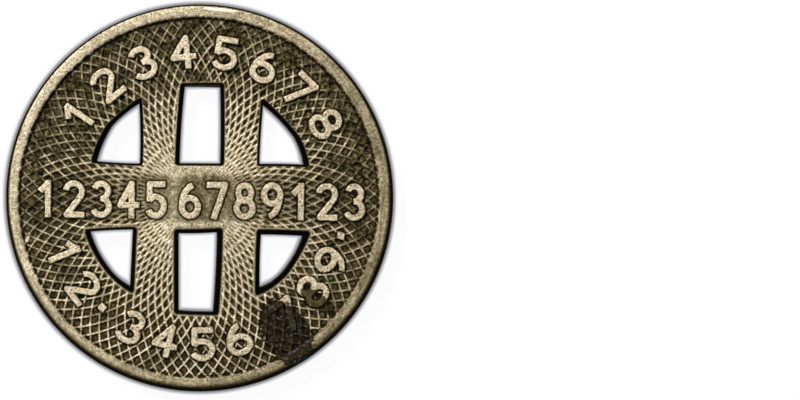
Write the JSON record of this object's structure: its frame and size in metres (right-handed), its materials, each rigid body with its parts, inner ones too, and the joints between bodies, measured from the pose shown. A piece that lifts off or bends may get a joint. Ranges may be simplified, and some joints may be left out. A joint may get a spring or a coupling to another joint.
{
  "type": "transit token",
  "caption": "Round struck metal fare token with a raised rim, a sunken field, raised plain numerals on both faces and windows pierced through its middle.",
  "frame": {"origin": "centre of the disc, level with the flat top of the reverse's rim, on which the token lies", "axes": "+Z out of the obverse, which lies uppermost, +Y to the top of the design, +X to the right as the obverse is read"},
  "size_m": [0.023, 0.023, 0.0016],
  "materials": {
    "white_metal": "struck nickel-silver, toned olive brown in the recesses and rubbed pale on the rim, the numerals and the lattice's ridges"
  },
  "bodies": {
    "root": {"token": "white_metal"}
  },
  "joints": []
}
